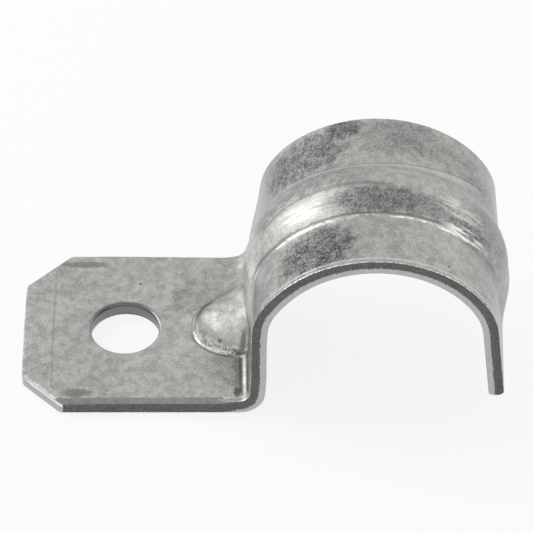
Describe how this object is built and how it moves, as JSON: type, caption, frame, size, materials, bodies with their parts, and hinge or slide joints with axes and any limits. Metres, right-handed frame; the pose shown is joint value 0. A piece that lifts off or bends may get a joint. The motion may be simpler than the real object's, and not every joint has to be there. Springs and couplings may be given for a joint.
{
  "type": "conduit strap",
  "caption": "Pressed galvanised conduit strap: a beaded arch with a free leg, and a flange with chamfered corners, a gusset and a screw hole.",
  "frame": {"origin": "centre of the screw hole on the wall plane (the flange's underside)", "axes": "+X along the strap towards the conduit, +Y along the conduit, +Z away from the wall"},
  "size_m": [0.0502, 0.0212, 0.0226],
  "materials": {
    "zinc": "dull mottled galvanised"
  },
  "bodies": {
    "root": {"conduit_strap": "zinc"}
  },
  "joints": []
}
